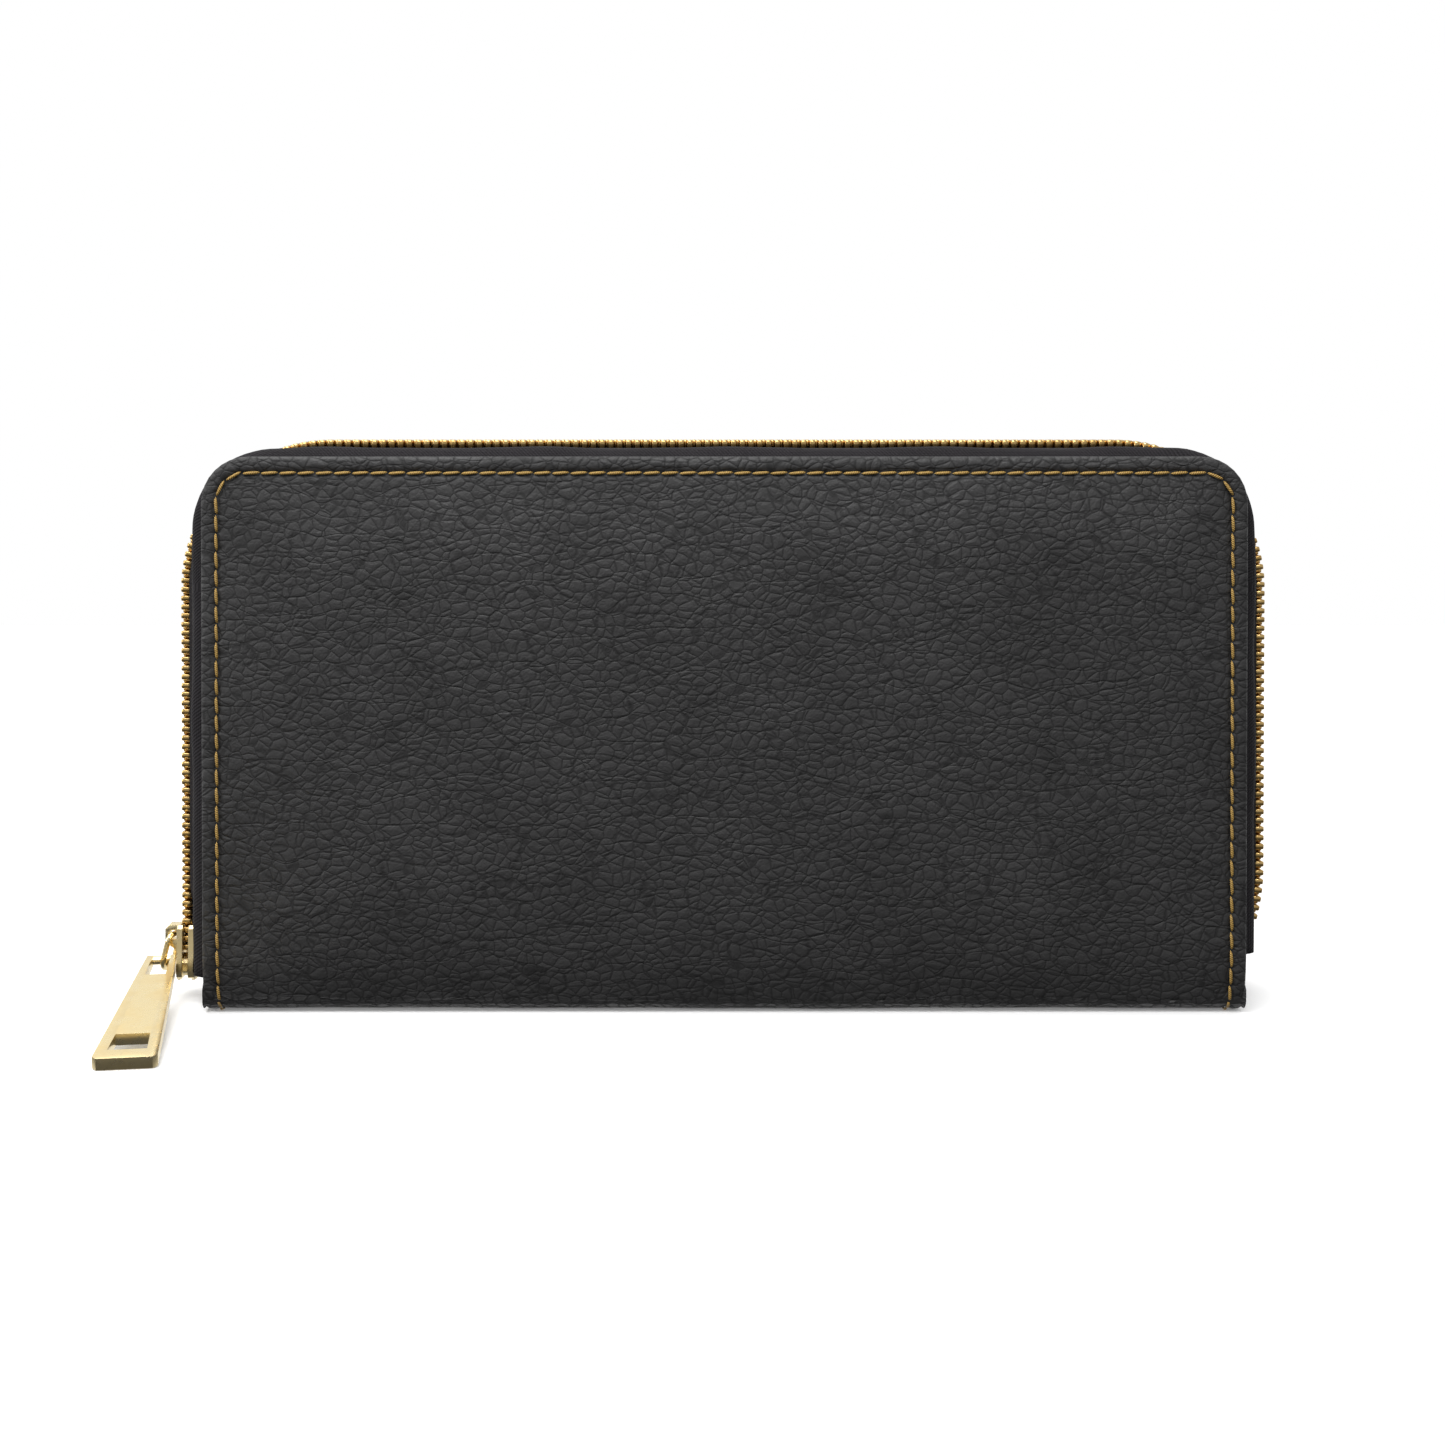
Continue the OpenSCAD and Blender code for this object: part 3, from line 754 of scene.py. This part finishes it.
def fitted(side, half, body, pockets):
    """A cover's lining and the pockets sewn on it."""
    toward = -side
    inner_panel(f"{half}_lining", LINING_CLOTH, body, 6 * MM, toward, f"{half}_board")
    rows, under = [], f"{half}_lining_sheet"
    for name in pockets:
        low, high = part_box(name)
        inner_panel(name, POCKET_LEATHER, body, 3 * MM, toward, under, relief=hem(high.z))
        rows.append((high.x, high.z - 2 * MM, high.y if toward > 0 else low.y))
        under = f"{name}_sheet"
    hem_thread(f"{half}_pocket_thread", body, rows, toward)


fitted(-1, "front", "front_cover", [f"front_card_pocket_{i}" for i in range(1, 5)])
fitted(1, "back", "back_cover", ["back_sleeve_1", "back_sleeve_2"])


def floor_strip(node, material):
    """A strip along the bottom of the wallet, its upper face a little wavy."""
    low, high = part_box(node)
    xs, ys = evenly(low.x, high.x, 2 * MM), evenly(low.y, high.y, 1 * MM)
    points, flat, layers = [], [], []
    for top in (1, 0):
        rows = []
        for y in ys:
            rows.append(list(range(len(points), len(points) + len(xs))))
            for x in xs:
                edge = min(high.x - abs(x), high.y - abs(y))
                z = high.z - max(0.2 * MM - edge, 0)
                points.append((x, y, z + 0.04 * MM * noise.noise((x * 90, y * 90, 0)) if top else low.z))
                flat.append((x, y))
        layers.append(rows)
    faces = strips(layers[0]) + strips(layers[1])
    rims = [rows[0] + [r[-1] for r in rows[1:]] + rows[-1][-2::-1] + [r[0] for r in rows[-2:0:-1]]
            for rows in layers]
    faces += strips(rims, closed=True)
    piece = build(f"{node}_sheet", points, faces, material, flat, body="spine", replaces=(node,))


floor_strip("spine_lining", LINING_CLOTH)
floor_strip("coin_pocket_bottom", LINING_CLOTH)

# ---------- coin pocket ----------

# One coin tape in y and z, in millimetres, from the coil to its seam
COIN_TAPE_LINE = [(1.4, 87), (2.6, 87), (3.6, 86.85), (3.95, 86.2), (3.85, 84.6), (3.55, 82.6),
                  (2.98, 80.4), (2.95, 78.5), (2.95, 76.2)]


def coin_tape(node, half, side):
    """The coin zip's tape: level by the coil, then folded down to its seam on the panel."""
    low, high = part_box(node)
    line = smooth_line([(y * MM, z * MM) for y, z in COIN_TAPE_LINE], 40)
    points, rows, faces, flat = [], [], [], []
    for x in evenly(low.x, high.x, 2 * MM):
        section = []
        for k, p in enumerate(ribbon(line, 0.4 * MM)):
            i = k if k < len(line) else 2 * len(line) - 1 - k
            wave = 0.12 * MM * math.sin(x / (5 * MM)) * math.sin(math.pi * i / (len(line) - 1)) ** 2
            section.append((x, side * (p.x + wave), p.y))
            flat.append((x, i * 0.42 * MM))
        tube_rows(points, rows, faces, section)
    faces += ribbon_ends(rows)
    piece = build(f"{node}_sheet", points, faces, TAPE_CLOTH, flat, body="spine",
                  replaces=(node,))
    wide = sum((b - a).length for a, b in zip(line, line[1:]))


for half, toward in (("front", -1), ("back", 1)):
    inner_panel(f"coin_pocket_{half}", LINING_CLOTH, "spine", 3 * MM, toward,
                "coin_pocket_bottom_sheet", crown=0.45 * MM)
    coin_tape(f"coin_zip_tape_{half}", half, toward)


def coil(node, side):
    """A coil of nylon, its turns leaning and lying flat on the tape."""
    low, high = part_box(node)
    wire, pitch, steps = 0.3 * MM, 1.3 * MM, 12
    cy, cz = (low.y + high.y) / 2, (low.z + high.z) / 2
    ry, rz = (high.y - low.y) / 2 - wire, (high.z - low.z) / 2 - wire * 0.8
    turns = int((high.x - low.x - 2 * wire) / pitch)
    points, faces, rows = [], [], []
    for i in range(turns * steps + 1):
        a = 2 * math.pi * i / steps + (math.pi if side > 0 else 0)
        x = low.x + wire + pitch * i / steps
        centre = Vector((x, cy + ry * math.cos(a), cz + rz * math.sin(a)))
        way = Vector((pitch / steps, -ry * math.sin(a) * 2 * math.pi / steps,
                      rz * math.cos(a) * 2 * math.pi / steps)).normalized()
        across = way.cross(Vector((1, 0, 0))).normalized()
        up = way.cross(across)
        tube_rows(points, rows, faces, [centre + (across * math.cos(k * math.pi / 3)
                                        + up * math.sin(k * math.pi / 3)) * wire for k in range(6)])
    faces += [tuple(rows[0][::-1]), tuple(rows[-1])]
    build(f"{node}_turns", points, faces, TOOTH_METAL, body="spine", replaces=(node,))


coil("coin_zip_coil_front", -1)
coil("coin_zip_coil_back", 1)

# ---------- gussets ----------

# One gusset's pleats in x and y, in millimetres, from the coin pocket to the cover
GUSSET_LINE = [(88, 2.95), (80, 3.6), (72.6, 4.5), (76, 5.4), (91.6, 6.5), (92.4, 7.2),
               (93.2, 8.3), (94.4, 9.15)]


def gusset(half, hand, side):
    """A pleated strip between the coin pocket and the cover, its upper edge dipping in the middle."""
    node = f"gusset_{half}_{hand}"
    low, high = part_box(node)
    mirror = 1 if hand == "right" else -1
    line = smooth_line([(x * MM, y * MM) for x, y in GUSSET_LINE], 56)
    points, rows, faces, flat = [], [], [], []
    for z in evenly(low.z, high.z, 2 * MM):
        t = (z - low.z) / (high.z - low.z)
        section, outline = [], ribbon(line, 0.35 * MM)
        for k, p in enumerate(outline):
            i = k if k < len(line) else 2 * len(line) - 1 - k
            dip = 2.5 * MM * t ** 4 * math.sin(math.pi * i / (len(line) - 1))
            sway = 0.12 * MM * noise.noise((z * 50, i * 0.2, 4)) * math.sin(math.pi * i / (len(line) - 1))
            section.append((mirror * (p.x + sway), side * p.y, z - dip))
            flat.append((i * 1 * MM, z))
        tube_rows(points, rows, faces, section)
    faces += ribbon_ends(rows)
    piece = build(f"{node}_sheet", points, faces, GUSSET_CLOTH, flat, replaces=(node,))
    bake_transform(piece)
    wide = sum((b - a).length for a, b in zip(line, line[1:]))


for half, side in (("front", -1), ("back", 1)):
    for hand in ("left", "right"):
        gusset(half, hand, side)

# ---------- carried-over nodes ----------

CARRIED = {"pull_ring": PULL_METAL, "front_board": BOARD, "back_board": BOARD, "spine_board": BOARD}
for node, material in CARRIED.items():
    for cad_slot in frame["nodes"][node].material_slots:
        cad_slot.link = "OBJECT"
        cad_slot.material = material

# ---------- camera, floor and lights ----------

CAMERA_X = -10 * MM
CAMERA_Z = 115 * MM
CAMERA_TO_COVER = 330 * MM
VIEW_W = 275.24 * MM  # width of the view at the front cover
SENSOR_W = 36
SHIFT_X = -0.0014
SHIFT_Y = -0.2
HORIZON = 0.213  # how far above the middle of the view, as a share of its width

data = bpy.data.cameras.new("camera")
data.sensor_width = SENSOR_W
data.lens = SENSOR_W * CAMERA_TO_COVER / VIEW_W
data.shift_y = SHIFT_Y
data.shift_x = SHIFT_X - CAMERA_X / VIEW_W
data.clip_start = 0.01
camera = bpy.data.objects.new("camera", data)
pitch = math.atan((HORIZON + SHIFT_Y) * VIEW_W / CAMERA_TO_COVER)
camera.location = (CAMERA_X, COVER_LOW.y - CAMERA_TO_COVER, CAMERA_Z)
camera.rotation_euler = (math.pi / 2 - pitch, 0, 0)
bpy.context.scene.collection.objects.link(camera)
bpy.context.scene.camera = camera

FLOOR_BEHIND = 0.6
FLOOR_SIZE = 6

bpy.ops.mesh.primitive_plane_add(size=FLOOR_SIZE, location=(0, FLOOR_BEHIND - FLOOR_SIZE / 2, 0))
floor = bpy.context.object
floor.name = "floor"
floor.data.materials.append(floor_paint("floor_white", 0.90))
floor.visible_diffuse = floor.visible_glossy = False


def studio_world(front, low):
    """A white studio, dimmer on the camera's side and darker there below the horizon."""
    world = bpy.data.worlds.new("studio")
    world.use_nodes = True
    tree = world.node_tree
    way = tree.nodes.new("ShaderNodeTexCoord")
    split = tree.nodes.new("ShaderNodeSeparateXYZ")
    tree.links.new(way.outputs["Generated"], split.inputs[0])

    def ramp(axis, start, end, dim=0.0, full=1.0):
        node = tree.nodes.new("ShaderNodeMapRange")
        node.interpolation_type = "SMOOTHSTEP"
        tree.links.new(split.outputs[axis], node.inputs["Value"])
        for socket, value in zip(("From Min", "From Max", "To Min", "To Max"), (start, end, dim, full)):
            node.inputs[socket].default_value = value
        return node

    near = ramp(2, -0.25, 0.0, low, front)
    both = ramp(1, -0.1, 0.35)
    tree.links.new(near.outputs[0], both.inputs["To Min"])
    tree.links.new(both.outputs[0], tree.nodes["Background"].inputs["Strength"])
    tree.nodes["Background"].inputs["Color"].default_value = (1, 1, 1, 1)
    bpy.context.scene.world = world


def softbox(name, place, aim, size, power):
    lamp = bpy.data.lights.new(name, "AREA")
    lamp.shape, lamp.size, lamp.size_y, lamp.energy = "RECTANGLE", size[0], size[1], power
    box = bpy.data.objects.new(name, lamp)
    box.location = place
    box.rotation_euler = (Vector(aim) - Vector(place)).to_track_quat("-Z", "Y").to_euler()
    bpy.context.scene.collection.objects.link(box)


studio_world(front=0.6, low=0.1)
softbox("key", (-0.08, -0.30, 0.48), (0, 0, 0.09), (0.5, 0.2), 2.7)
softbox("top", (-0.3, 0.1, 1.0), (0, 0, 0.0), (0.5, 0.5), 5)
softbox("side", (-0.9, -0.3, 0.3), (-0.1, 0, 0.03), (0.3, 0.4), 3)
bpy.context.scene.view_settings.view_transform = "Standard"
